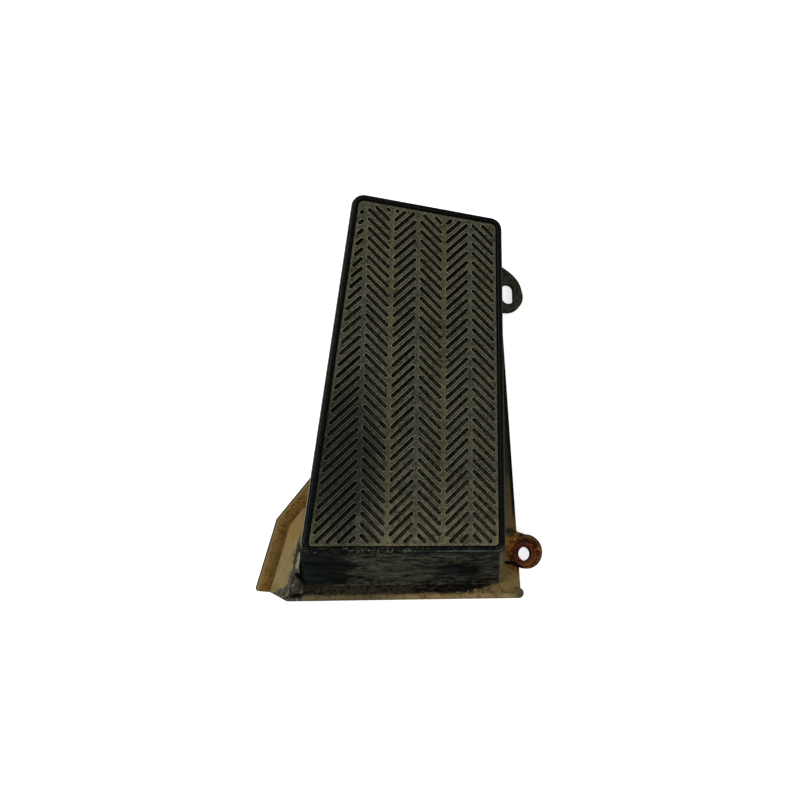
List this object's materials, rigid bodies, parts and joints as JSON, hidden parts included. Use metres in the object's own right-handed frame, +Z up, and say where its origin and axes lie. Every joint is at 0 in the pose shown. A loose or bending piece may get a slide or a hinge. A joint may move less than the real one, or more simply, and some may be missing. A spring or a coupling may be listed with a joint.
{
  "type": "footrest",
  "caption": "Tapered, wedge-shaped driver's footrest with an inset herringbone rubber tread, a flanged base and two bolt ears.",
  "frame": {"origin": "centre of the lower bolt hole, on the floor face of the base", "axes": "+X to the right, away from the housing towards the ears; +Y from the heel end to the toe end; +Z up from the floor face to the tread"},
  "size_m": [0.1894, 0.2694, 0.0588],
  "materials": {
    "housing_plastic": "black moulded plastic, scuffed and dusty",
    "tread_rubber": "worn black rubber with grey-brown dust",
    "base_plastic": "black moulded plastic under dried mud",
    "rusty_steel": "heavily rusted steel",
    "stained_steel": "dull steel with rust specks",
    "screw_steel": "zinc-plated steel, dulled"
  },
  "bodies": {
    "root": {"upper_housing": "housing_plastic", "tread_pad": "tread_rubber", "base_moulding": "base_plastic", "lower_ear_sleeve": "rusty_steel", "upper_ear_sleeve": "stained_steel", "case_screws": "screw_steel"}
  },
  "joints": []
}
